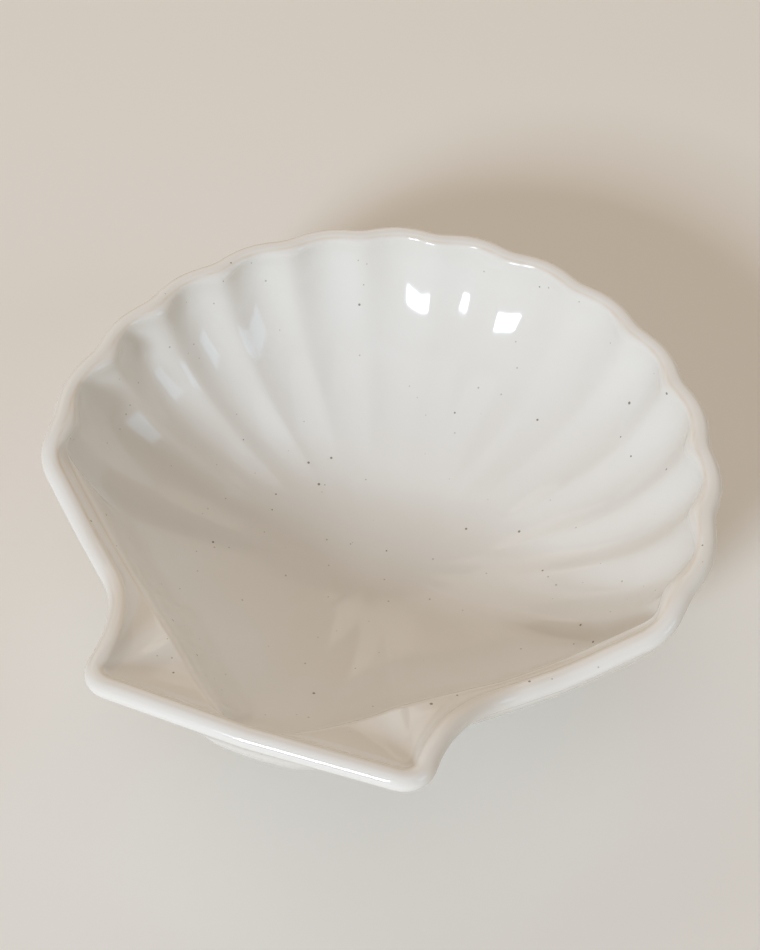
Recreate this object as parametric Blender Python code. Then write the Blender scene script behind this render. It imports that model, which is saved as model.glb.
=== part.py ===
"""Scallop shell dish: a fluted bowl with a rolled lip, two ears at the hinge and a low foot ring.

The dish is one moulded and glazed piece, so it is one loft. Half of the lip's centre line is drawn from
arcs and straight runs, mirrored, and cut into stations. Each station carries one radial section: bowl
floor, fluted wall, ear web, lip, outer wall, foot ring and the recess inside it.

Metres, +Z up. X runs along the hinge and +Y from the hinge to the fan. The origin lies on the table
under the middle of the fan's circle.
"""

import math

import bpy
import bmesh

# Outline of the lip, seen from above
FAN_RADIUS = 0.0750  # bowl's centre to the outer edge of the lip, on a lobe
HINGE_REACH = 0.0750  # bowl's centre to the outer edge of the hinge
HINGE_BOW = 0.0012  # how far the hinge edge swells out at its middle
EAR_HALF_WIDTH = 0.0363  # axis to the outer side of an ear
EAR_CORNER_RADIUS = 0.0045
NECK_REACH = 0.0515  # bowl's centre to where the straight side would meet the ear's side
NECK_RADIUS = 0.0310
SHOULDER_HALF_WIDTH = 0.0714  # axis to the shoulder, where the straight side starts
SHOULDER_REACH = 0.0213  # bowl's centre to the shoulder, towards the hinge
SHOULDER_RADIUS = 0.0120

# Flutes
FLUTE_PITCH = math.radians(14.9)
END_FLUTE_PITCH = math.radians(17.4)  # the last flute on each side is a little wider
FLUTES_EACH_SIDE = 6  # beside the middle one
LOBE_DEPTH = 0.0012  # outer edge: notch to lobe
RIDGE_REACH = 0.0011  # how much farther a ridge comes inwards at the lip
FLUTE_DEPTH = 0.0013  # ridge to the bottom of a flute, on the wall
FLUTE_FOOT = 0.36  # share of the reach where the flutes start from the floor
FLUTE_FULL = 0.74  # share of the reach where they have their full depth
LIP_BLEND = 0.88  # share of the reach where the wall takes up the lip's own scallop
OUTLINE_SOFTNESS = 0.45  # roundness of the notches of the outer edge
RIDGE_SOFTNESS = 0.20  # roundness of the ridges inside
FLUTE_SHOULDER_ANGLE = math.radians(26.0)  # bearing over which the end flute dies into the side

# Lip
LIP_WIDTH = 0.0042
LIP_THICKNESS = 0.0040
LIP_INNER_DROP = 0.0012  # top of the lip to where its inner side is upright
LIP_UNDERCUT = math.radians(50.0)  # how far the lip's round turns under before the wall starts
SIDE_DIP = 0.0052  # how far the lip dips along the straight sides
EAR_RISE = 0.0029  # how far the hinge and ears stand above the fan
DIP_START = math.radians(100.0)
DIP_FULL = math.radians(126.0)
RISE_START = math.radians(132.0)
RISE_FULL = math.radians(158.0)

# Bowl and ears
BOWL_DEPTH = 0.0395  # fan's lip down to the floor inside
WALL = 0.0040
FLOOR = 0.0045
LIP_STEP = 0.00025  # from the lip's inner edge to the bowl's wall
CREASE_INSET = 0.0035  # lip's centre line to the crease between bowl and ear
CREASE_SOFTNESS = 0.0014  # roundness of the crease's ends, seen from above
CREASE_ROUND = 0.0018  # roundness of the crease's section
CREASE_START = 0.0003  # width of the ear's web at which the crease begins to be rounded
CREASE_WHOLE = 0.0025
CREASE_LEAN = 0.2  # least cosine for the line of the crease, which keeps its reach finite
COVE_DROP = 0.0031  # hollow along the inside of the lip
COVE_WIDTH = 0.0022
UNDER_DROP = 0.0044  # the same along the underside of the lip
UNDER_WIDTH = 0.0032
EAR_FALL = 0.07  # slope of the ear's web towards the bowl
FLOOR_REACH = 0.0620  # reach of the round bowl that the floor belongs to
FLOOR_BLEND = 0.90  # share of the reach where the bowl takes up the lip's own outline
WALL_FULLNESS = 2.3  # how flat the floor is
WALL_STEEPNESS = 0.61  # how upright the wall starts under the lip

# Foot
FOOT_RADIUS = 0.0280
FOOT_WIDTH = 0.0045
FOOT_HEIGHT = 0.0012  # recess inside the foot ring
FOOT_TOP = 0.0046  # height at which the outer wall meets the foot's outer side
FOOT_DRAFT = 0.0008

# Mesh
STEPS_EACH_FLUTE = 8
RUN_STEPS = (1, 6, 1, 6)  # stations on the straight runs from the last notch to the hinge's middle
ARC_STEPS = (4, 6, 5)  # stations on the shoulder, the neck and the ear's corner
FLOOR_RINGS = (0.16, 0.32, 0.45, 0.56, 0.66, 0.75, 0.83, 0.89, 0.935, 0.965, 0.985, 1.0)
WEB_RINGS = (0.4, 0.75)
LIP_STEPS = 8
UNDER_RINGS = (0.6, 0.0)
OUTER_RINGS = (0.95, 0.88, 0.79, 0.68, 0.55, 0.4, 0.22, 0.0)
OUTER_FADE = 0.4  # share of the outer wall over which the flutes fade towards the foot
SHADING_ANGLE = math.radians(45)
ON_THE_LINE = 1e-6  # a point that is nearer to a line than this lies on it

RIM_HEIGHT = FOOT_HEIGHT + FLOOR + BOWL_DEPTH
FLOOR_HEIGHT = FOOT_HEIGHT + FLOOR
END_NOTCH = FLUTE_PITCH * (FLUTES_EACH_SIDE - 0.5) + END_FLUTE_PITCH
LIP_HALF = LIP_WIDTH / 2


def smooth_step(value, start, end):
    """0 before start, 1 after end, and an even rise between."""
    share = min(1.0, max(0.0, (value - start) / (end - start)))
    return share * share * (3 - 2 * share)


def soft_min(first, second, softness):
    """The smaller of two lengths, with the corner between them rounded."""
    low = min(first, second)
    near = math.exp((low - first) / softness) + math.exp((low - second) / softness)
    return low - softness * math.log(near)


def lobe_wave(bearing, softness):
    """0 on a ridge and 1 in the middle of a flute, by the bearing from the dish's axis."""
    last_even = END_NOTCH - END_FLUTE_PITCH
    if bearing <= last_even:
        phase = (bearing + FLUTE_PITCH / 2) / FLUTE_PITCH
    elif bearing <= END_NOTCH + END_FLUTE_PITCH / 2:
        phase = (bearing - last_even) / END_FLUTE_PITCH
    else:
        phase = 0.5
    wave = abs(math.sin(math.pi * phase))
    return (math.hypot(wave, softness) - softness) / (math.hypot(1.0, softness) - softness)


def rounded_path(corners, radii):
    """Points along straight runs through the corners, each rounded by an arc, without the first point."""
    path = [corners[0]]
    for index, radius in enumerate(radii):
        before, corner, after = corners[index:index + 3]
        to_before = math.atan2(before[1] - corner[1], before[0] - corner[0])
        to_after = math.atan2(after[1] - corner[1], after[0] - corner[0])
        opening = math.remainder(to_after - to_before, 2 * math.pi)
        middle = to_before + opening / 2
        reach = radius / math.sin(abs(opening) / 2)
        centre = (corner[0] + reach * math.cos(middle), corner[1] + reach * math.sin(middle))
        turn = math.copysign(math.pi - abs(opening), opening)
        start = to_before - math.copysign(math.pi / 2, opening)
        steps = ARC_STEPS[index]
        for step in range(steps + 1):
            angle = start - turn * step / steps
            point = (centre[0] + radius * math.cos(angle), centre[1] + radius * math.sin(angle))
            if step == 0:
                path += between(path[-1], point, RUN_STEPS[index])
            else:
                path.append(point)
    path += between(path[-1], corners[-1], RUN_STEPS[-1])
    return path[1:]


def between(first, last, steps):
    """Points that cut a straight run into steps, its last point among them."""
    return [
        tuple(a + (b - a) * step / steps for a, b in zip(first, last))
        for step in range(1, steps + 1)
    ]


def fan_points():
    """Stations of the lip's centre line round the fan, from its top to the last notch."""
    points = []
    base = FAN_RADIUS - LIP_HALF - LOBE_DEPTH
    half_flute = STEPS_EACH_FLUTE // 2
    bearings = [FLUTE_PITCH / 2 * step / half_flute for step in range(half_flute)]
    edge = FLUTE_PITCH / 2
    for number in range(FLUTES_EACH_SIDE):
        pitch = END_FLUTE_PITCH if number == FLUTES_EACH_SIDE - 1 else FLUTE_PITCH
        bearings += [edge + pitch * step / STEPS_EACH_FLUTE for step in range(STEPS_EACH_FLUTE)]
        edge += pitch
    bearings.append(END_NOTCH)
    for bearing in bearings:
        radius = base + LOBE_DEPTH * lobe_wave(bearing, OUTLINE_SOFTNESS)
        points.append((radius * math.sin(bearing), radius * math.cos(bearing)))
    return points


def side_corners():
    """Corners of the lip's centre line after the fan: shoulder, neck and ear, then the hinge's middle."""
    ear_half_width = EAR_HALF_WIDTH - LIP_HALF
    hinge_reach = HINGE_REACH - LIP_HALF
    return (
        (SHOULDER_HALF_WIDTH - LIP_HALF, -SHOULDER_REACH),
        (ear_half_width, -NECK_REACH),
        (ear_half_width, HINGE_BOW - hinge_reach),
        (0.0, -hinge_reach),
    )


def half_outline():
    """The lip's centre line for one half of the dish, from the fan's top to the hinge's middle."""
    fan = fan_points()
    radii = (SHOULDER_RADIUS, NECK_RADIUS, EAR_CORNER_RADIUS)
    return fan + rounded_path([fan[-1], *side_corners()], radii)


def outline():
    """The closed centre line of the lip, clockwise from above, starting at the fan's top."""
    right = half_outline()
    left = [(-x, y) for x, y in reversed(right[1:-1])]
    return right + left


def outward_normals(points):
    """Unit normals of a closed clockwise outline, pointing away from the bowl."""
    normals = []
    for index in range(len(points)):
        before = points[index - 1]
        after = points[(index + 1) % len(points)]
        along = (after[0] - before[0], after[1] - before[1])
        length = math.hypot(*along)
        normals.append((-along[1] / length, along[0] / length))
    return normals


def bearing_of(x, y):
    return abs(math.atan2(x, y))


def lip_height(bearing):
    """Top of the lip: level round the fan, dipped along the sides and raised at the hinge."""
    dip = SIDE_DIP * smooth_step(bearing, DIP_START, DIP_FULL)
    rise = (SIDE_DIP + EAR_RISE) * smooth_step(bearing, RISE_START, RISE_FULL)
    return RIM_HEIGHT - dip + rise


def crease_reach(bearing, inset):
    """Distance from the bowl's centre to a line that runs inside the straight side by the inset."""
    shoulder, neck = side_corners()[:2]
    side_angle = math.atan2(shoulder[1] - neck[1], shoulder[0] - neck[0])
    line_bearing = math.pi - side_angle
    distance = shoulder[0] * math.sin(line_bearing) + shoulder[1] * math.cos(line_bearing) - inset
    lean = math.cos(bearing - line_bearing)
    return distance / max(lean, CREASE_LEAN)


def cove(distance, drop, width):
    """How far the ear's web lies below the edge of the lip, at a distance from that edge."""
    return drop * (1 - math.exp(-distance / width)) + EAR_FALL * distance


def wall_fall(share):
    """How far the bowl has dropped, 0 at its edge and 1 on its floor, at a share of the reach."""
    return (1 - share**WALL_FULLNESS) ** WALL_STEEPNESS


def fluted_reach(station, reach, share):
    """Reach of the wall at a share of its way out.

    The flutes rise from the floor and end in the lip's own scallop, and the floor is that of a rounder bowl.
    """
    at_lip = smooth_step(share, LIP_BLEND, 1.0)
    fade = smooth_step(share, FLUTE_FOOT, FLUTE_FULL) * (1 - at_lip)
    wider = smooth_step(share, 0.0, FLOOR_BLEND)
    plain = FLOOR_REACH + (reach - station.scallop - FLOOR_REACH) * wider
    return plain * share + station.scallop * at_lip + FLUTE_DEPTH * fade * station.flute


class Station:
    """One radial section of the dish."""

    def __init__(self, point, normal):
        self.point = point
        self.normal = normal
        self.bearing = bearing_of(*point)
        self.top = lip_height(self.bearing)
        last_lobe = END_NOTCH + END_FLUTE_PITCH / 2
        past_end = smooth_step(self.bearing, last_lobe, END_NOTCH + FLUTE_SHOULDER_ANGLE)
        inside = lobe_wave(self.bearing, RIDGE_SOFTNESS)
        outside = lobe_wave(min(self.bearing, END_NOTCH), OUTLINE_SOFTNESS)
        self.flute = (inside - 0.5) * (1 - past_end)
        self.ridge = RIDGE_REACH * (1 - inside) * (1 - past_end)
        self.scallop = (LOBE_DEPTH * (outside - 0.5) + RIDGE_REACH * (inside - 0.5)) * (1 - past_end)

    def beside(self, offset, height):
        """A point at an offset outwards from the lip's centre line."""
        x = self.point[0] + self.normal[0] * offset
        y = self.point[1] + self.normal[1] * offset
        return (x, y, height)

    def lip(self, angle):
        """A point of the lip's rounded section: pi is its inner side, pi / 2 its top, 0 its outer side."""
        if math.cos(angle) < 0:
            half, depth = LIP_HALF + self.ridge, LIP_INNER_DROP
        else:
            half, depth = LIP_HALF, LIP_THICKNESS / 2
        return self.beside(half * math.cos(angle), self.top - depth * (1 - math.sin(angle)))


def towards(point, reach, height):
    """A point above or below the line from the bowl's centre to the given point."""
    length = math.hypot(point[0], point[1])
    return (point[0] / length * reach, point[1] / length * reach, height)


def soft_distance(point, line):
    """How far a point lies from a closed line, with no crease where two sides are equally far.

    It is the sum over the line of one over the distance cubed, which for a long straight line gives two
    over the distance squared. Both lie flat, as seen from above.
    """
    pull = 0.0
    for start, end in zip(line, line[1:] + line[:1]):
        length = math.hypot(end[0] - start[0], end[1] - start[1])
        along = ((end[0] - start[0]) / length, (end[1] - start[1]) / length)
        offset = (point[0] - start[0], point[1] - start[1])
        before = offset[0] * along[0] + offset[1] * along[1]
        after = length - before
        beside = math.sqrt(max(offset[0] ** 2 + offset[1] ** 2 - before**2, ON_THE_LINE**2))
        pull += (after / math.hypot(after, beside) + before / math.hypot(before, beside)) / beside**2
    return math.sqrt(2 / pull)


class Edge:
    """The line of the lip's section at which a wall or web starts, and the wall's own upper edge."""

    def __init__(self, stations, angle, inset, drop, width):
        self.points = [station.lip(angle) for station in stations]
        self.drop = drop
        self.width = width
        self.reaches = []
        self.lands = []
        for point in self.points:
            reach = math.hypot(point[0], point[1])
            crease = crease_reach(bearing_of(point[0], point[1]), inset)
            self.reaches.append(soft_min(reach - LIP_STEP, crease, CREASE_SOFTNESS))
            self.lands.append(reach - self.reaches[-1])
        self.heights = [point[2] for point in self.web_ring(0.0)]

    def web_ring(self, share):
        """A ring of the web, 0 at the wall's edge and 1 at the lip."""
        ring = []
        for point, reach, land in zip(self.points, self.reaches, self.lands):
            x, y, top = towards(point, reach + land * share, point[2])
            distance = soft_distance((x, y), self.points)
            ring.append((x, y, top - cove(distance, self.drop, self.width)))
        return ring

    def fallen(self, index, fall, floor):
        """Height of the wall below its edge, after a share of its fall to the given floor."""
        return self.heights[index] - (self.heights[index] - floor) * fall


def inner_rings(stations):
    """Rings of the bowl's inside, from near the middle of the floor up to the lip."""
    edge = Edge(stations, math.pi, CREASE_INSET, COVE_DROP, COVE_WIDTH)
    rings = []
    for share in FLOOR_RINGS:
        ring = []
        for index, station in enumerate(stations):
            reach = edge.reaches[index]
            rounding = CREASE_ROUND * smooth_step(edge.lands[index], CREASE_START, CREASE_WHOLE)
            inwards = math.hypot(reach * (1 - share), rounding) - rounding
            height = edge.fallen(index, wall_fall(1 - inwards / (reach - rounding)), FLOOR_HEIGHT)
            ring.append(towards(edge.points[index], fluted_reach(station, reach, share), height))
        rings.append(ring)
    return rings + [edge.web_ring(share) for share in WEB_RINGS]


def lip_rings(stations):
    """Rings over the lip, from its inner side over the top to where it turns under."""
    rings = []
    for step in range(LIP_STEPS + 1):
        angle = math.pi - (math.pi + LIP_UNDERCUT) * step / LIP_STEPS
        rings.append([station.lip(angle) for station in stations])
    return rings


def outer_rings(stations):
    """Rings of the outside, from under the lip down to the top of the foot ring."""
    edge = Edge(stations, -LIP_UNDERCUT, CREASE_INSET - WALL, UNDER_DROP, UNDER_WIDTH)
    rings = [edge.web_ring(share) for share in UNDER_RINGS]
    foot_edge = FOOT_RADIUS + FOOT_DRAFT
    for share in OUTER_RINGS:
        ring = []
        for index, station in enumerate(stations):
            reach = edge.reaches[index]
            plain = foot_edge + (reach - foot_edge) * share
            flutes = fluted_reach(station, reach, plain / reach) - plain
            radius = plain + flutes * smooth_step(share, 0.0, OUTER_FADE)
            fall = wall_fall(plain / reach) / wall_fall(foot_edge / reach)
            ring.append(towards(edge.points[index], radius, edge.fallen(index, fall, FOOT_TOP)))
        rings.append(ring)
    return rings


def foot_rings(stations):
    """Rings of the foot: down its outer side, across its flat face and up into the recess."""
    profile = (
        (FOOT_RADIUS, 0.0),
        (FOOT_RADIUS - FOOT_WIDTH, 0.0),
        (FOOT_RADIUS - FOOT_WIDTH - FOOT_DRAFT, FOOT_HEIGHT),
    )
    return [
        [towards(station.lip(-LIP_UNDERCUT), radius, height) for station in stations]
        for radius, height in profile
    ]


def loft(name, rings, first_height, last_height):
    """A closed mesh over the rings, its two ends closed at points on the dish's axis."""
    shell = bmesh.new()
    rows = [[shell.verts.new(point) for point in ring] for ring in rings]
    count = len(rows[0])
    for lower, upper in zip(rows, rows[1:]):
        for index in range(count):
            after = (index + 1) % count
            shell.faces.new((lower[index], upper[index], upper[after], lower[after]))
    first = shell.verts.new((0.0, 0.0, first_height))
    last = shell.verts.new((0.0, 0.0, last_height))
    for index in range(count):
        after = (index + 1) % count
        shell.faces.new((first, rows[0][index], rows[0][after]))
        shell.faces.new((last, rows[-1][after], rows[-1][index]))
    bmesh.ops.recalc_face_normals(shell, faces=shell.faces)
    mesh = bpy.data.meshes.new(name)
    shell.to_mesh(mesh)
    shell.free()
    mesh.shade_smooth()
    mesh.set_sharp_from_angle(angle=SHADING_ANGLE)
    return mesh


def glazed_ceramic():
    """Warm white glaze over a pale body."""
    material = bpy.data.materials.new("glazed_ceramic")
    material.use_nodes = True
    shader = material.node_tree.nodes["Principled BSDF"]
    shader.inputs["Base Color"].default_value = (0.78, 0.76, 0.71, 1.0)
    shader.inputs["Roughness"].default_value = 0.1
    shader.inputs["Metallic"].default_value = 0.0
    return material


def shell_dish():
    """The whole dish, lofted through its stations."""
    points = outline()
    stations = [Station(point, normal) for point, normal in zip(points, outward_normals(points))]
    rings = inner_rings(stations) + lip_rings(stations) + outer_rings(stations) + foot_rings(stations)
    mesh = loft("shell_dish", rings, FLOOR_HEIGHT, FOOT_HEIGHT)
    dish = bpy.data.objects.new("shell_dish", mesh)
    dish.data.materials.append(glazed_ceramic())
    bpy.context.scene.collection.objects.link(dish)
    return dish


def main():
    for obj in list(bpy.data.objects):
        bpy.data.objects.remove(obj, do_unlink=True)
    shell_dish()


main()
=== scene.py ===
"""Scallop shell dish in white glazed stoneware: a fluted bowl with a rolled lip, two ears and a low foot.

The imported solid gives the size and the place. The dish shown here is the same form with a much finer
surface, so that the flutes, the rolled lip and the soft crease beside each ear read as poured glaze.

Metres, +Z up. X runs along the hinge and +Y from the hinge to the fan. The origin lies on the table under
the middle of the fan's circle.
"""

import math

import bpy
import numpy as np
from mathutils import Matrix


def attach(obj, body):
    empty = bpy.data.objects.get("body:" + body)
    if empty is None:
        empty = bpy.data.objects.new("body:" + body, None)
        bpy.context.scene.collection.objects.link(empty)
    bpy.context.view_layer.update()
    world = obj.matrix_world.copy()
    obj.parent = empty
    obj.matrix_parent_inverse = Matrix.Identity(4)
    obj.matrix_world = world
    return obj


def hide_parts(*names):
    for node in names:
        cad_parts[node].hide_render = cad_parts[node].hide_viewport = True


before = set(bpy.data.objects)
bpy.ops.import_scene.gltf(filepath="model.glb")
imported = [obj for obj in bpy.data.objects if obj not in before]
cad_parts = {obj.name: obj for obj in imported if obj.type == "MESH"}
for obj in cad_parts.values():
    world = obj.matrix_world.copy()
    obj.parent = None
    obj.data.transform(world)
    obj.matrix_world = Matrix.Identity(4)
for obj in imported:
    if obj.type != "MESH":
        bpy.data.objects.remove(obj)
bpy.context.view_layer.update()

bl_info = {
    "name": "Shell dish",
    "version": (1, 0, 0),
    "blender": (4, 5, 0),
    "location": "View3D > Sidebar > Shell dish",
    "description": "A fluted scallop shell dish in speckled white glaze, with its table and light",
    "category": "Object",
}

# Outline of the lip beyond the sizes that a user would change
HINGE_BOW = 0.0012
EAR_CORNER_RADIUS = 0.0045
NECK_REACH = 0.0515
NECK_RADIUS = 0.0310
SHOULDER_HALF_WIDTH = 0.0714
SHOULDER_REACH = 0.0213
SHOULDER_RADIUS = 0.0120
LEAST_ARC_POINTS = 3

# Flutes round the fan
FLUTE_PITCH = math.radians(14.9)
END_FLUTE_PITCH = math.radians(17.4)
FLUTES_EACH_SIDE = 6
END_NOTCH = FLUTE_PITCH * (FLUTES_EACH_SIDE - 0.5) + END_FLUTE_PITCH
LOBE_DEPTH = 0.0012
RIDGE_REACH = 0.0011
FLUTE_SHOULDER = math.radians(22.0)
OUTLINE_SOFTNESS = 0.45
FLUTE_FOOT, FLUTE_FULL = 0.30, 0.70  # shares of the wall's reach where the flutes start and are full
LIP_BLEND = 0.82

# How the flutes change from the dish's axis towards the shoulders
RIDGE_RUN = (math.radians(10.0), math.radians(50.0))
GAIN_RUN = (math.radians(25.0), math.radians(95.0))
MIDDLE_RIDGE, END_RIDGE = 0.50, 0.07  # how soft the ridges are
MIDDLE_BOTTOM, END_BOTTOM = 1.20, 0.30  # how round a flute's bottom is between its flanks
MIDDLE_SHARE, MIDDLE_LIP_SHARE = 0.72, 0.30  # share of a flute's depth on the axis, on the wall and lip
END_GAIN, LIP_GAIN = 1.3, 0.6  # how much deeper flutes are beside the shoulders, on the wall and lip

# Lip
LIP_UNDERCUT = math.radians(50.0)
LIP_STEP = 0.00002
LIP_INNER_DROP = 0.0012
RIDGE_DROP = 0.8  # how much lower the lip's inner side ends for each metre that it reaches in on a ridge
LIP_INNER_STOP = math.radians(22.0)  # how far short of upright the lip's inner side ends on an ear
SIDE_DIP = 0.0052
EAR_RISE = 0.0029
DIP = (math.radians(100.0), math.radians(126.0))
RISE = (math.radians(132.0), math.radians(158.0))

# Crease beside each ear, and the ears' webs
CREASE_INSET = 0.0035
CREASE_SOFTNESS = 0.0014
CREASE_ROUND = 0.0048
CREASE_EASE = 1.5
CREASE_RUN = 0.0022  # how far past the crease the web's slope still shows in the wall
CREASE_WIDTHS = (0.0003, 0.0025)
LEAST_LEAN = 0.2
COVE_DROP, COVE_WIDTH = 0.0028, 0.0020
UNDER_DROP, UNDER_WIDTH = 0.0044, 0.0032
EAR_FALL = 0.32  # slope of an ear's web away from the lip

# Bowl
FLOOR = 0.0045
FLOOR_REACH = 0.0620
FLOOR_BLEND = 0.90
WALL_FULLNESS = 2.3
WALL_STEEPNESS = 0.61

# Foot
FOOT_RADIUS = 0.0280
FOOT_WIDTH = 0.0045
FOOT_HEIGHT = 0.0012
FOOT_TOP = 0.0046
FOOT_DRAFT = 0.0008
FOOT_FILLET = 0.0013  # from the corner between wall and foot to where its round starts
FOOT_ROUND = 0.0005
ARC_MIDDLE = 0.3  # share of a round that is left at the middle of its arc
RECESS_SHARES = (0.6, 0.3)  # of the foot's inner radius, where the rings of the recess lie
OUTER_FADE = 0.4  # share of the outer wall over which its flutes die away above the foot

# Fineness of the surface
STEPS_EACH_FLUTE = 24
SHOULDER_STEPS = 110
PATH_STEP = 0.0001
WALL_RINGS, WEB_RINGS, LIP_RINGS = 56, 11, 25
UNDER_RINGS, OUTER_RINGS, FILLET_RINGS = 8, 24, 5
WALL_CROWDING, WEB_CROWDING, OUTER_CROWDING = 2, 2.5, 1.5  # how the rings crowd towards a sharper bend
OFF_LIP = -9.0  # stands for an angle round the lip's section where a ring isn't on the lip
TINY = 1e-12

# Glaze: sizes in metres, and strengths from 0 to 1
POOL_SIZE = 0.018
THIN_PATCH_SIZE = 0.004
FLOW_SIZE, FLOW_HEIGHT, FLOW_STRENGTH = 0.009, 0.0002, 0.22
LINE_INSET, LINE_WIDTH, LINE_STRENGTH = 0.00165, 0.00028, 0.38  # thin line inside the lip's middle: thin glaze on the fan, painted shade on the sides and hinge
SIDE_SHADE_LINE_SHARE = 0.25  # how much of that line is left past the fan, where it is painted shade along the lip's inner side
EDGE_ANGLE, EDGE_SPREAD, EDGE_STRENGTH = math.radians(-30.0), math.radians(9.0), 0.12
FAINT_SPECKS = (0.0028, 0.34, 0.00021)  # cell, share of cells with a speck, radius
DARK_SPECKS = (0.0042, 0.26, 0.00029)
FAINT_STRENGTH, DARK_STRENGTH = 0.38, 0.75
SPECK_LEAST, SPECK_SPREAD = 0.7, 0.6  # smallest speck, and how much larger others get, as shares of the radius
SPECK_EDGE = (1.15, 0.75)  # shares of a speck's radius between which its edge fades
WET_ROUGHNESS = (0.07, 0.12)
BARE_ROUGHNESS = 0.75
GLAZE_IOR = 1.5

# Stage. Each lamp has a bearing and a height in degrees, a distance and a side in metres, watts and a colour
LAMPS = {
    "window_light": (-12.0, 27.0, 2.1, 0.42, 29.8, "#DEEEFF"),
    "back_left_light": (-140.0, 28.0, 1.2, 0.9, 2.1, "#FBF8F2"),
    "back_light": (180.0, 25.0, 1.2, 0.9, 1.1, "#FFF0DC"),
    "right_light": (85.0, 28.0, 1.2, 0.45, 1.5, "#B5E0FF"),
    "ceiling_light": (0.0, 85.0, 1.2, 1.0, 1.6, "#DDE8FF"),
}
LAMP_AIM = (0.0, 0.0, 0.03)
ROOM_COLOUR, ROOM_STRENGTH = "#FFE0B8", 0.36
BACKDROP_COLOUR, BACKDROP_STRENGTH = "#D8D2C8", 0.8
TABLE_SIZE, TABLE_COLOUR, TABLE_ROUGHNESS = 6.0, "#EFECE6", 0.85
CAMERA_PLACE = (0.07704, -0.20496, 0.31537)
CAMERA_AXES = ((0.94189, 0.33577, -0.01034), (-0.25688, 0.73973, 0.62196), (0.21648, -0.58316, 0.78300))
CAMERA_LENS, CAMERA_SENSOR, CAMERA_CLIP = 60.63, 36.0, (0.01, 20.0)


def linear(code):
    """Linear RGBA of an sRGB hex colour."""
    values = [int(code[i:i + 2], 16) / 255 for i in (1, 3, 5)]
    return tuple(v / 12.92 if v <= 0.04045 else ((v + 0.055) / 1.055) ** 2.4 for v in values) + (1.0,)


def smooth_step(value, start, end):
    """0 before start, 1 after end, and an even rise between."""
    share = np.clip((value - start) / (end - start), 0.0, 1.0)
    return share * share * (3 - 2 * share)


def soft_min(first, second, softness):
    """The smaller of two lengths, with the corner between them rounded."""
    low = np.minimum(first, second)
    near = np.exp((low - first) / softness) + np.exp((low - second) / softness)
    return low - softness * np.log(near)


def flute_phase(bearing):
    """Flutes passed since the dish's axis: a whole number on a ridge, a half in the middle of a flute."""
    last_even = END_NOTCH - END_FLUTE_PITCH
    even = (bearing + FLUTE_PITCH / 2) / FLUTE_PITCH
    end = np.minimum((bearing - last_even) / END_FLUTE_PITCH, 1.5)
    return np.where(bearing <= last_even, even, end)


def rounded(wave, softness):
    """A wave from 0 to 1 whose sharp feet are rounded."""
    return (np.hypot(wave, softness) - softness) / (np.hypot(1.0, softness) - softness)


def lobe_wave(bearing):
    """0 in a notch of the outer edge and 1 in the middle of a lobe."""
    return rounded(np.abs(np.sin(np.pi * flute_phase(bearing))), OUTLINE_SOFTNESS)


def flute_wave(bearing):
    """0 on a ridge of the wall and 1 in the bottom of a flute: soft on the axis, sharper by the shoulders."""
    phase = flute_phase(bearing)
    from_bottom = 1 - 2 * np.abs(phase - np.rint(phase))
    bottom = MIDDLE_BOTTOM + (END_BOTTOM - MIDDLE_BOTTOM) * smooth_step(bearing, *GAIN_RUN)
    rise = np.hypot(1.0, bottom) - np.hypot(from_bottom, bottom)
    ridge = MIDDLE_RIDGE + (END_RIDGE - MIDDLE_RIDGE) * smooth_step(bearing, *RIDGE_RUN)
    return rounded(rise / (np.hypot(1.0, bottom) - bottom), ridge)


def side_corners(sizes):
    """Corners of the lip's centre line after the fan: shoulder, neck, ear and the hinge's middle."""
    half = sizes.lip_width / 2
    ear = sizes.ear_half_width - half
    hinge = sizes.hinge_reach - half
    shoulder = (SHOULDER_HALF_WIDTH - half, -SHOULDER_REACH)
    return (shoulder, (ear, -NECK_REACH), (ear, HINGE_BOW - hinge), (0.0, -hinge))


def rounded_path(corners, radii):
    """Points along straight lines through the corners, each corner rounded by an arc."""
    path = [corners[0]]
    for before, corner, after, radius in zip(corners, corners[1:], corners[2:], radii):
        to_before = math.atan2(before[1] - corner[1], before[0] - corner[0])
        to_after = math.atan2(after[1] - corner[1], after[0] - corner[0])
        opening = math.remainder(to_after - to_before, 2 * math.pi)
        reach = radius / math.sin(abs(opening) / 2)
        middle = to_before + opening / 2
        turn = math.copysign(math.pi - abs(opening), opening)
        start = to_before - math.copysign(math.pi / 2, opening)
        count = max(LEAST_ARC_POINTS, round(radius * abs(turn) / PATH_STEP))
        for angle in np.linspace(start, start - turn, count):
            path.append((corner[0] + reach * math.cos(middle) + radius * math.cos(angle),
                         corner[1] + reach * math.sin(middle) + radius * math.sin(angle)))
    path.append(corners[-1])
    return np.array(path)


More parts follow.
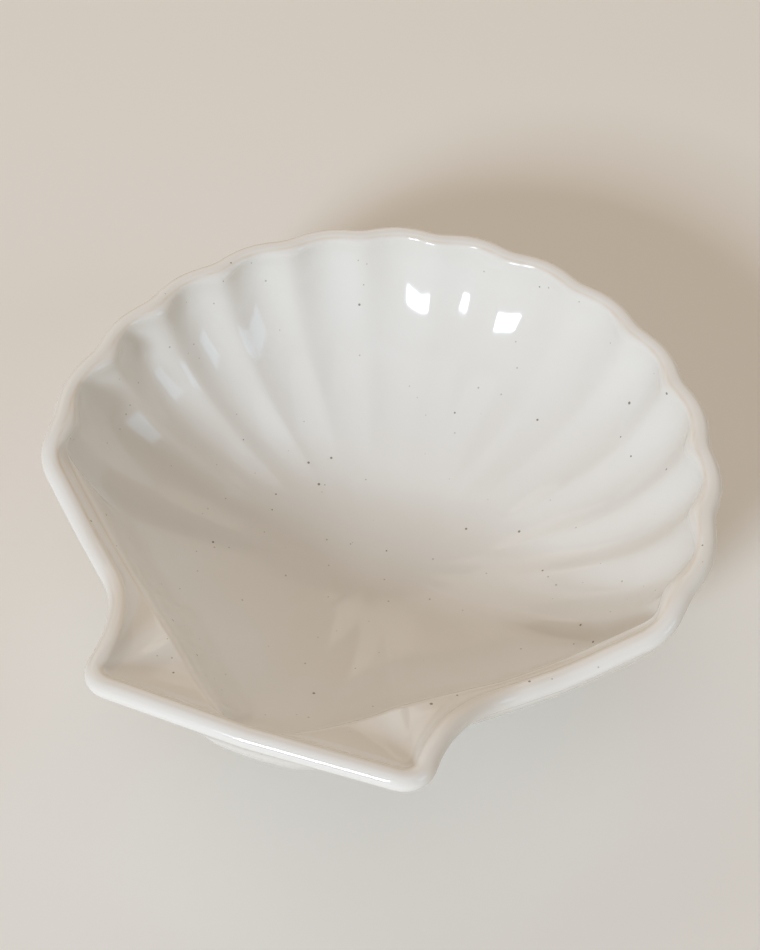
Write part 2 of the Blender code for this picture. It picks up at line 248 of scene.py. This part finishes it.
def half_outline(sizes):
    """The lip's centre line for one half of the dish, from the fan's top to the hinge's middle."""
    edges = [FLUTE_PITCH * (number + 0.5) for number in range(FLUTES_EACH_SIDE)] + [END_NOTCH]
    runs = [np.linspace(0.0, edges[0], STEPS_EACH_FLUTE // 2, endpoint=False)]
    runs += [np.linspace(a, b, STEPS_EACH_FLUTE, endpoint=False) for a, b in zip(edges, edges[1:])]
    bearings = np.concatenate(runs + [[END_NOTCH]])
    base = sizes.fan_radius - sizes.lip_width / 2 - LOBE_DEPTH
    radius = base + LOBE_DEPTH * lobe_wave(bearings)
    fan = np.stack([radius * np.sin(bearings), radius * np.cos(bearings)], axis=1)
    radii = (SHOULDER_RADIUS, NECK_RADIUS, EAR_CORNER_RADIUS)
    path = rounded_path([tuple(fan[-1]), *side_corners(sizes)], radii)
    lengths = np.concatenate([[0.0], np.cumsum(np.hypot(*np.diff(path, axis=0).T))])
    stops = np.linspace(0.0, lengths[-1], SHOULDER_STEPS + 1)[1:]
    side = np.stack([np.interp(stops, lengths, path[:, axis]) for axis in (0, 1)], axis=1)
    return np.concatenate([fan, side])


class Stations:
    """The radial sections of the dish, one for each point of the lip's centre line."""

    def __init__(self, sizes):
        self.sizes = sizes
        half = half_outline(sizes)
        left = half * (-1, 1)
        self.points = np.concatenate([left, half[-2:0:-1]])
        along = np.roll(self.points, -1, axis=0) - np.roll(self.points, 1, axis=0)
        self.normals = np.stack([along[:, 1], -along[:, 0]], axis=1) / np.hypot(*along.T)[:, None]
        self.bearing = np.abs(np.arctan2(self.points[:, 0], self.points[:, 1]))
        self.rim_height = FOOT_HEIGHT + FLOOR + sizes.bowl_depth
        self.top = self.rim_height - SIDE_DIP * smooth_step(self.bearing, *DIP)
        self.top = self.top + (SIDE_DIP + EAR_RISE) * smooth_step(self.bearing, *RISE)
        past_end = smooth_step(self.bearing, END_NOTCH + END_FLUTE_PITCH / 2, END_NOTCH + FLUTE_SHOULDER)
        inside = flute_wave(self.bearing)
        near_end = smooth_step(self.bearing, *GAIN_RUN)
        off_axis = smooth_step(self.bearing, *RIDGE_RUN)
        by_lip = MIDDLE_LIP_SHARE + (1 - MIDDLE_LIP_SHARE) * off_axis + LIP_GAIN * near_end
        at_lip = (1 - past_end) * by_lip
        on_wall = MIDDLE_SHARE + (1 - MIDDLE_SHARE) * off_axis + END_GAIN * near_end
        self.wave = (inside - 0.5) * (1 - past_end) * on_wall
        self.ridge = RIDGE_REACH * (1 - inside) * at_lip
        lobe = LOBE_DEPTH * (lobe_wave(np.minimum(self.bearing, END_NOTCH)) - 0.5)
        self.scallop = lobe * (1 - past_end) + RIDGE_REACH * (inside - 0.5) * at_lip

    def lip(self, angle):
        """A ring on the lip's rounded section: pi is its inner side, pi / 2 its top, 0 its outer side."""
        inner = np.cos(angle) < 0
        half = self.sizes.lip_width / 2 + np.where(inner, self.ridge, 0.0)
        depth = np.where(inner, LIP_INNER_DROP + RIDGE_DROP * self.ridge, self.sizes.lip_thickness / 2)
        across = self.points + self.normals * (half * np.cos(angle))[:, None]
        return np.column_stack([across, self.top - depth * (1 - np.sin(angle))])

    def crease_reach(self, start, inset):
        """Distance from the bowl's middle to a line that runs inside the straight side by the inset."""
        shoulder, neck = side_corners(self.sizes)[:2]
        line = math.pi - math.atan2(shoulder[1] - neck[1], shoulder[0] - neck[0])
        distance = shoulder[0] * math.sin(line) + shoulder[1] * math.cos(line) - inset
        lean = np.cos(np.abs(np.arctan2(start[:, 0], start[:, 1])) - line)
        return distance / np.maximum(lean, LEAST_LEAN)

    def edge_reach(self, start, inset):
        """Reach of the wall's upper edge: just inside a ring of the lip, or on the crease beside an ear."""
        return soft_min(reach_of(start) - LIP_STEP, self.crease_reach(start, inset), CREASE_SOFTNESS)


def reach_of(ring):
    """How far each point of a ring lies from the bowl's middle, seen from above."""
    return np.hypot(ring[:, 0], ring[:, 1])


def cove(distance, drop, width):
    """How far the ear's web lies below the edge of the lip, at a distance from that edge."""
    return drop * (1 - np.exp(-distance / width)) + EAR_FALL * distance


def soft_distance(points, line):
    """How far each point lies from a closed line, seen from above.

    It has no crease where two sides are equally far. It is the sum over the line of one over the distance
    cubed, which for a long straight line gives two over the distance squared.
    """
    run = np.roll(line, -1, axis=0) - line
    length = np.hypot(*run.T)
    offset = points[:, None, :] - line[None, :, :]
    before = (offset * run).sum(axis=2) / length
    after = length - before
    beside = np.maximum((offset ** 2).sum(axis=2) - before ** 2, TINY)
    pull = (after / np.sqrt(after ** 2 + beside) + before / np.sqrt(before ** 2 + beside)) / beside
    return np.sqrt(2 / pull.sum(axis=1))


def web_ring(start, reach, drop, width):
    """A ring of the web at a reach, sunk by how far it lies from the lip's edge."""
    ring = ring_towards(start, reach, start[:, 2])
    ring[:, 2] -= cove(soft_distance(ring[:, :2], start[:, :2]), drop, width)
    return ring


def wall_fall(share):
    """How far the bowl has dropped, 0 at its edge and 1 on its floor, at a share of the reach."""
    return (1 - np.clip(share, 0, 1) ** WALL_FULLNESS) ** WALL_STEEPNESS


def ring_towards(start, reach, height):
    """A ring above or below the lines from the bowl's middle to the points of another ring."""
    length = reach_of(start)
    flat = start[:, :2] / length[:, None] * np.broadcast_to(reach, length.shape)[:, None]
    return np.column_stack([flat, np.broadcast_to(height, length.shape)])


def fluted_reach(stations, reach, share):
    """Reach of a ring of the wall: the lip's scallop dies away downwards and the flutes swell between."""
    at_lip = smooth_step(share, LIP_BLEND, 1.0)
    fade = smooth_step(share, FLUTE_FOOT, FLUTE_FULL) * (1 - at_lip)
    flutes = stations.sizes.flute_depth * fade * stations.wave
    plain = FLOOR_REACH + (reach - stations.scallop - FLOOR_REACH) * smooth_step(share, 0.0, FLOOR_BLEND)
    return plain * share + stations.scallop * at_lip + flutes


def inner_rings(stations, start, ear):
    """Rings of the bowl's wall and of the ears' webs, from the floor up to the lip's inner edge.

    The last argument is 1 beside an ear and 0 where the wall meets the lip itself.
    """
    floor_height = FOOT_HEIGHT + FLOOR
    reach = stations.edge_reach(start, CREASE_INSET)
    edge = web_ring(start, reach, COVE_DROP, COVE_WIDTH)[:, 2]
    land = reach_of(start) - reach
    rings = []
    for step in range(1, WALL_RINGS + 1):
        share = 1 - (1 - step / WALL_RINGS) ** WALL_CROWDING
        inset = reach * (1 - share)
        eased = 1 - np.exp(-(inset / np.maximum(CREASE_ROUND * ear, PATH_STEP)) ** CREASE_EASE)
        fall = wall_fall(share) * eased
        carried = EAR_FALL * ear * inset * np.exp(-inset / CREASE_RUN)
        height = edge - (edge - floor_height) * fall - carried
        rings.append(ring_towards(start, fluted_reach(stations, reach, share), height))
    for step in range(1, WEB_RINGS + 1):
        away = land * (1 - step / (WEB_RINGS + 1)) ** WEB_CROWDING
        rings.append(web_ring(start, reach + land - away, COVE_DROP, COVE_WIDTH))
    return rings


def outer_rings(stations, start):
    """Rings of the webs' undersides, the outer wall and its fillet, from the lip's outer edge to the foot."""
    reach = stations.edge_reach(start, CREASE_INSET - stations.sizes.wall)
    edge = web_ring(start, reach, UNDER_DROP, UNDER_WIDTH)[:, 2]
    land = reach_of(start) - reach
    rings = []
    for step in range(1, UNDER_RINGS + 1):
        away = land * (step / (UNDER_RINGS + 1)) ** WEB_CROWDING
        rings.append(web_ring(start, reach + land - away, UNDER_DROP, UNDER_WIDTH))
    foot_edge = FOOT_RADIUS + FOOT_DRAFT
    for step in range(OUTER_RINGS):
        share = 1 - (step / (OUTER_RINGS - 1)) ** OUTER_CROWDING
        plain = foot_edge + FOOT_FILLET + (reach - foot_edge - FOOT_FILLET) * share
        flutes = fluted_reach(stations, reach, plain / reach) - plain
        fall = wall_fall(plain / reach) / wall_fall(foot_edge / reach)
        rings.append(ring_towards(start, plain + flutes * smooth_step(share, 0.0, OUTER_FADE),
                                  edge - (edge - FOOT_TOP) * fall))
    above = rings[-1]
    corner = ring_towards(start, foot_edge, FOOT_TOP)
    below = ring_towards(start, foot_edge - FOOT_DRAFT * FOOT_FILLET / FOOT_TOP, FOOT_TOP - FOOT_FILLET)
    for step in range(1, FILLET_RINGS + 1):
        part = step / FILLET_RINGS
        rings.append((1 - part) ** 2 * above + 2 * part * (1 - part) * corner + part ** 2 * below)
    return rings


def foot_profile():
    """Radius, height and bareness of each ring of the foot, from its outer side to the recess's middle."""
    inner = FOOT_RADIUS - FOOT_WIDTH
    return [
        (FOOT_RADIUS, FOOT_ROUND, 0.0),
        (FOOT_RADIUS - FOOT_ROUND * ARC_MIDDLE, FOOT_ROUND * ARC_MIDDLE, 1.0),
        (FOOT_RADIUS - FOOT_ROUND, 0.0, 1.0),
        (inner + FOOT_ROUND, 0.0, 1.0),
        (inner + FOOT_ROUND * ARC_MIDDLE, FOOT_ROUND * ARC_MIDDLE, 1.0),
        (inner, FOOT_ROUND, 1.0),
        (inner - FOOT_DRAFT, FOOT_HEIGHT, 0.0),
        *((inner * share, FOOT_HEIGHT, 0.0) for share in RECESS_SHARES),
    ]


def dish_rings(stations):
    """All rings of the dish, from the middle of the floor over the lip to the middle of the foot's recess.

    With them come how far round the lip's section each point lies, or a number below any such angle, and
    for each ring 1 where its glaze is wiped off.
    """
    upright = stations.lip(math.pi)
    ear = smooth_step(reach_of(upright) - stations.edge_reach(upright, CREASE_INSET), *CREASE_WIDTHS)
    inner_side = math.pi - LIP_INNER_STOP * ear
    rings = inner_rings(stations, stations.lip(inner_side), ear)
    first_on_lip = len(rings)
    parts = np.linspace(0.0, 1.0, LIP_RINGS)
    angles = [inner_side + (-LIP_UNDERCUT - inner_side) * part for part in parts]
    rings += [stations.lip(angle) for angle in angles]
    start = stations.lip(-LIP_UNDERCUT)
    rings += outer_rings(stations, start)
    profile = foot_profile()
    bare = np.array([0.0] * len(rings) + [wiped for _, _, wiped in profile])
    rings += [ring_towards(start, radius, height) for radius, height, _ in profile]
    turns = np.full((len(rings), len(stations.bearing)), OFF_LIP)
    turns[first_on_lip:first_on_lip + LIP_RINGS] = angles
    return np.array(rings), turns, bare


def pressed_ball(name, rings, first, last):
    """A ball with one row of points for each ring, pressed into the rings' shape."""
    count = rings.shape[1]
    rows = len(rings) + 1
    bpy.ops.object.select_all(action="DESELECT")
    bpy.ops.mesh.primitive_uv_sphere_add(segments=count, ring_count=rows, radius=1.0)
    ball = bpy.context.object
    ball.name = name
    ball.data.name = name
    places = np.empty(len(ball.data.vertices) * 3)
    ball.data.vertices.foreach_get("co", places)
    places = places.reshape(-1, 3)
    row = np.rint(np.arccos(np.clip(places[:, 2], -1, 1)) / math.pi * rows).astype(int)
    turn = np.arctan2(places[:, 1], places[:, 0]) / (2 * math.pi)
    column = np.rint(turn * count).astype(int) % count
    pressed = rings[np.clip(row - 1, 0, len(rings) - 1), column]
    pressed[row == 0] = (0.0, 0.0, first)
    pressed[row == rows] = (0.0, 0.0, last)
    ball.data.vertices.foreach_set("co", pressed.ravel())
    ball.data.update()
    return ball, row, column


def node(tree, kind, settings=(), **inputs):
    """Adds a node, sets its settings, and fills or links its inputs by name, or by number after _."""
    made = tree.nodes.new("ShaderNode" + kind)
    for key, value in dict(settings).items():
        setattr(made, key, value)
    for key, value in inputs.items():
        socket = made.inputs[int(key[1:])] if key[1:].isdigit() else made.inputs[key.replace("_", " ")]
        if isinstance(value, bpy.types.NodeSocket):
            tree.links.new(value, socket)
        else:
            socket.default_value = value
    return made


def times(tree, first, second):
    """The product of two shader values."""
    return node(tree, "Math", {"operation": "MULTIPLY"}, _0=first, _1=second).outputs[0]


def specks(tree, place, cell, share, radius):
    """1 inside scattered round specks and 0 outside: a share of the Voronoi cells holds one, in metres."""
    cells = node(tree, "TexVoronoi", {"feature": "F1"}, Vector=place, Scale=1 / cell)
    draw = node(tree, "SeparateColor", Color=cells.outputs["Color"])
    holds = node(tree, "Math", {"operation": "LESS_THAN"}, _0=draw.outputs[0], _1=share)
    size = node(tree, "Math", {"operation": "MULTIPLY_ADD"}, _0=draw.outputs[1],
                _1=SPECK_SPREAD * radius / cell, _2=SPECK_LEAST * radius / cell)
    near = node(tree, "Math", {"operation": "DIVIDE"}, _0=cells.outputs["Distance"], _1=size.outputs[0])
    inside = node(tree, "MapRange", {"interpolation_type": "SMOOTHSTEP"}, Value=near.outputs[0],
                  From_Min=SPECK_EDGE[0], From_Max=SPECK_EDGE[1])
    return times(tree, holds.outputs[0], inside.outputs[0])


def tinted(tree, share, under, over):
    """A colour laid over another by a share of 0 to 1."""
    return node(tree, "Mix", {"data_type": "RGBA"}, _0=share, _6=under, _7=tuple(over)).outputs[2]


def speckled_glaze(finish):
    """White stoneware under a poured clear-white glaze.

    The glaze is smooth and wet-looking, breaks thin to the buff clay along the lip's edges, and carries
    dark iron specks under 1 mm, so the eye sees sharp highlights on a milky, slightly uneven white. The same
    buff line runs on faintly inside the lip past the fan as painted shade. The foot is wiped bare, so it
    shows dry buff clay.
    """
    material = bpy.data.materials.new("glazed_speckled_stoneware")
    material.use_nodes = True
    tree = material.node_tree
    shader = tree.nodes["Principled BSDF"]
    place = node(tree, "TexCoord").outputs["Object"]
    pooled = node(tree, "TexNoise", Vector=place, Scale=1 / POOL_SIZE, Detail=2.0)
    colour = tinted(tree, pooled.outputs["Fac"], tuple(finish.white), finish.warm)
    # This attribute tints towards clay: thin glaze at the lip's edges on the fan, and a weaker painted shade
    # line inside the lip past the fan.
    edge = node(tree, "Attribute", {"attribute_name": "thin_glaze_and_shade_line"}).outputs["Fac"]
    broken = node(tree, "TexNoise", Vector=place, Scale=1 / THIN_PATCH_SIZE, Detail=3.0)
    patchy = node(tree, "MapRange", Value=broken.outputs["Fac"], From_Min=0.3, From_Max=0.6,
                  To_Min=0.45, To_Max=1.0)
    colour = tinted(tree, times(tree, edge, patchy.outputs[0]), colour, finish.clay)
    faint = specks(tree, place, *FAINT_SPECKS)
    colour = tinted(tree, times(tree, faint, FAINT_STRENGTH), colour, finish.iron)
    dark = specks(tree, place, *DARK_SPECKS)
    colour = tinted(tree, times(tree, dark, DARK_STRENGTH), colour, finish.iron)
    bare = node(tree, "Attribute", {"attribute_name": "bare_foot"}).outputs["Fac"]
    colour = tinted(tree, bare, colour, finish.clay)
    tree.links.new(colour, shader.inputs["Base Color"])
    wet = node(tree, "MapRange", Value=pooled.outputs["Fac"], From_Min=0.3, From_Max=0.7,
               To_Min=WET_ROUGHNESS[0], To_Max=WET_ROUGHNESS[1])
    rough = node(tree, "Mix", {"data_type": "FLOAT"}, _0=bare, _2=wet.outputs[0], _3=BARE_ROUGHNESS)
    tree.links.new(rough.outputs[0], shader.inputs["Roughness"])
    flow = node(tree, "TexNoise", Vector=place, Scale=1 / FLOW_SIZE, Detail=1.5)
    waves = node(tree, "Bump", Strength=FLOW_STRENGTH, Distance=FLOW_HEIGHT, Height=flow.outputs["Fac"])
    tree.links.new(waves.outputs["Normal"], shader.inputs["Normal"])
    shader.inputs["IOR"].default_value = GLAZE_IOR
    return material


def dish_piece(sizes, finish):
    """The whole dish as one piece, with its glaze, its thin-glaze lines and a faint painted shade line inside
    the lip past the fan.
    """
    stations = Stations(sizes)
    rings, turns, wiped = dish_rings(stations)
    dish, row, column = pressed_ball("glazed_dish", rings, FOOT_HEIGHT + FLOOR, FOOT_HEIGHT)
    on_ring = (row > 0) & (row <= len(rings))
    ring = np.clip(row - 1, 0, len(rings) - 1)
    angle = np.where(on_ring, turns[ring, column], OFF_LIP)
    half = sizes.lip_width / 2 + stations.ridge[column]
    offset = np.where(angle > math.pi / 2, 1.0, 0.0) * half * -np.cos(angle)
    # Past the fan the line inside the lip is kept but weaker: there it is painted shade, not thin glaze.
    along = SIDE_SHADE_LINE_SHARE + (1 - SIDE_SHADE_LINE_SHARE) * (stations.bearing[column] < DIP[1])
    inner = np.exp(-((offset - LINE_INSET) / LINE_WIDTH) ** 2) * along
    outer = np.exp(-((angle - EDGE_ANGLE) / EDGE_SPREAD) ** 2)
    thin = dish.data.attributes.new("thin_glaze_and_shade_line", "FLOAT", "POINT")
    thin.data.foreach_set("value", np.clip(LINE_STRENGTH * inner + EDGE_STRENGTH * outer, 0, 1))
    bare = dish.data.attributes.new("bare_foot", "FLOAT", "POINT")
    bare.data.foreach_set("value", np.where(on_ring, wiped[ring], 0.0))
    bpy.ops.object.shade_smooth()
    dish.data.materials.append(speckled_glaze(finish))
    return dish


def area_light(name, azimuth, elevation, distance, size, power, colour):
    """A square soft light that stands at a bearing and height and looks at the dish."""
    a, e = math.radians(azimuth), math.radians(elevation)
    back = (math.sin(a) * math.cos(e), -math.cos(a) * math.cos(e), math.sin(e))
    lamp = bpy.data.lights.new(name, "AREA")
    lamp.shape, lamp.size, lamp.energy = "SQUARE", size, power
    lamp.color = linear(colour)[:3]
    light = bpy.data.objects.new(name, lamp)
    bpy.context.scene.collection.objects.link(light)
    side = np.cross((0, 0, 1), back)
    side = side / np.linalg.norm(side)
    up = np.cross(back, side)
    turn = Matrix(np.column_stack([side, up, back]).tolist()).to_4x4()
    light.matrix_world = Matrix.Translation([LAMP_AIM[i] + back[i] * distance for i in range(3)]) @ turn
    return light


def set_camera():
    """The camera stands in front and to the right of the dish and looks down on it by about 52 degrees."""
    camera = bpy.data.objects.new("camera", bpy.data.cameras.new("camera"))
    bpy.context.scene.collection.objects.link(camera)
    camera.data.lens = CAMERA_LENS
    camera.data.sensor_width = CAMERA_SENSOR
    camera.data.clip_start, camera.data.clip_end = CAMERA_CLIP
    turn = Matrix(CAMERA_AXES).transposed().to_4x4()
    camera.matrix_world = Matrix.Translation(CAMERA_PLACE) @ turn
    bpy.context.scene.camera = camera


def set_table():
    """A plain pale table top that carries the dish's shadow."""
    bpy.ops.object.select_all(action="DESELECT")
    bpy.ops.mesh.primitive_plane_add(size=TABLE_SIZE)
    table = bpy.context.object
    table.name = "table"
    surface = bpy.data.materials.new("matt_painted_board")
    surface.use_nodes = True
    shader = surface.node_tree.nodes["Principled BSDF"]
    shader.inputs["Base Color"].default_value = linear(TABLE_COLOUR)
    shader.inputs["Roughness"].default_value = TABLE_ROUGHNESS
    table.data.materials.append(surface)


def set_room(scene):
    """Dim warm light from all round, with a pale backdrop where the camera looks past the table."""
    world = scene.world or bpy.data.worlds.new("room")
    scene.world = world
    world.use_nodes = True
    tree = world.node_tree
    warm = tree.nodes["Background"]
    warm.inputs["Color"].default_value = linear(ROOM_COLOUR)
    warm.inputs["Strength"].default_value = ROOM_STRENGTH
    pale = node(tree, "Background", Color=linear(BACKDROP_COLOUR), Strength=BACKDROP_STRENGTH)
    rays = node(tree, "LightPath")
    seen = node(tree, "Math", {"operation": "MAXIMUM"}, _0=rays.outputs["Is Camera Ray"],
                _1=rays.outputs["Is Transmission Ray"])
    split = node(tree, "MixShader", _0=seen.outputs[0], _1=warm.outputs[0], _2=pale.outputs[0])
    tree.links.new(split.outputs[0], tree.nodes["World Output"].inputs["Surface"])


class ShellDishSizes(bpy.types.PropertyGroup):
    """Main sizes of the dish."""

    fan_radius: bpy.props.FloatProperty(
        name="Fan radius", description="Bowl's middle to the outer edge of a lobe", default=0.0750,
        unit="LENGTH")
    hinge_reach: bpy.props.FloatProperty(
        name="Hinge reach", description="Bowl's middle to the hinge edge", default=0.0750, unit="LENGTH")
    ear_half_width: bpy.props.FloatProperty(
        name="Ear half width", description="Axis to the outer side of an ear", default=0.0363, unit="LENGTH")
    bowl_depth: bpy.props.FloatProperty(
        name="Bowl depth", description="Lip of the fan down to the floor", default=0.0395, unit="LENGTH")
    wall: bpy.props.FloatProperty(
        name="Wall", description="Thickness of the bowl's wall", default=0.0040, unit="LENGTH")
    lip_width: bpy.props.FloatProperty(
        name="Lip width", description="Width of the rolled lip in a flute", default=0.0042, unit="LENGTH")
    lip_thickness: bpy.props.FloatProperty(
        name="Lip thickness", description="Height of the rolled lip", default=0.0040, unit="LENGTH")
    flute_depth: bpy.props.FloatProperty(
        name="Flute depth", description="Ridge to the bottom of a flute, on the wall", default=0.0013,
        unit="LENGTH")


class ShellDishFinish(bpy.types.PropertyGroup):
    """Colours of the glaze and of what shows through it."""

    white: bpy.props.FloatVectorProperty(
        name="White", description="Glaze at its whitest", default=linear("#ECEBE7"),
        size=4, min=0.0, max=1.0, subtype="COLOR")
    warm: bpy.props.FloatVectorProperty(
        name="Warm white", description="Glaze where it pools warmer", default=linear("#E9E6DF"),
        size=4, min=0.0, max=1.0, subtype="COLOR")
    clay: bpy.props.FloatVectorProperty(
        name="Clay", description="Buff clay on the foot and under thin glaze", default=linear("#D6BE9C"),
        size=4, min=0.0, max=1.0, subtype="COLOR")
    iron: bpy.props.FloatVectorProperty(
        name="Iron", description="Specks in the glaze", default=linear("#5E472A"),
        size=4, min=0.0, max=1.0, subtype="COLOR")


class OBJECT_OT_shell_dish(bpy.types.Operator):
    """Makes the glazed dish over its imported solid."""

    bl_idname = "object.shell_dish_body"
    bl_label = "Glazed dish"

    def execute(self, context):
        dish = dish_piece(context.scene.shell_dish_sizes, context.scene.shell_dish_finish)
        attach(dish, "root")
        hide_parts("shell_dish")
        return {"FINISHED"}


class SCENE_OT_shell_dish_stage(bpy.types.Operator):
    """Sets the camera, the plain pale table, and the soft light."""

    bl_idname = "scene.shell_dish_stage"
    bl_label = "Table, light and camera"

    def execute(self, context):
        set_camera()
        set_table()
        for name, setting in LAMPS.items():
            area_light(name, *setting)
        set_room(context.scene)
        context.scene.view_settings.view_transform = "Standard"
        return {"FINISHED"}


class VIEW3D_PT_shell_dish(bpy.types.Panel):
    """Sizes, colours and building steps of the shell dish."""

    bl_idname = "VIEW3D_PT_shell_dish"
    bl_label = "Shell dish"
    bl_space_type = "VIEW_3D"
    bl_region_type = "UI"
    bl_category = "Shell dish"

    def draw(self, context):
        for name in ShellDishSizes.__annotations__:
            self.layout.prop(context.scene.shell_dish_sizes, name)
        for name in ShellDishFinish.__annotations__:
            self.layout.prop(context.scene.shell_dish_finish, name)
        self.layout.operator(SCENE_OT_shell_dish_stage.bl_idname)
        self.layout.operator(OBJECT_OT_shell_dish.bl_idname)


CLASSES = (
    ShellDishSizes,
    ShellDishFinish,
    OBJECT_OT_shell_dish,
    SCENE_OT_shell_dish_stage,
    VIEW3D_PT_shell_dish,
)


def register():
    for cls in CLASSES:
        bpy.utils.register_class(cls)
    bpy.types.Scene.shell_dish_sizes = bpy.props.PointerProperty(type=ShellDishSizes)
    bpy.types.Scene.shell_dish_finish = bpy.props.PointerProperty(type=ShellDishFinish)


def unregister():
    del bpy.types.Scene.shell_dish_finish
    del bpy.types.Scene.shell_dish_sizes
    for cls in reversed(CLASSES):
        bpy.utils.unregister_class(cls)


def main():
    register()
    bpy.ops.scene.shell_dish_stage()
    bpy.ops.object.shell_dish_body()


if __name__ == "__main__":
    main()
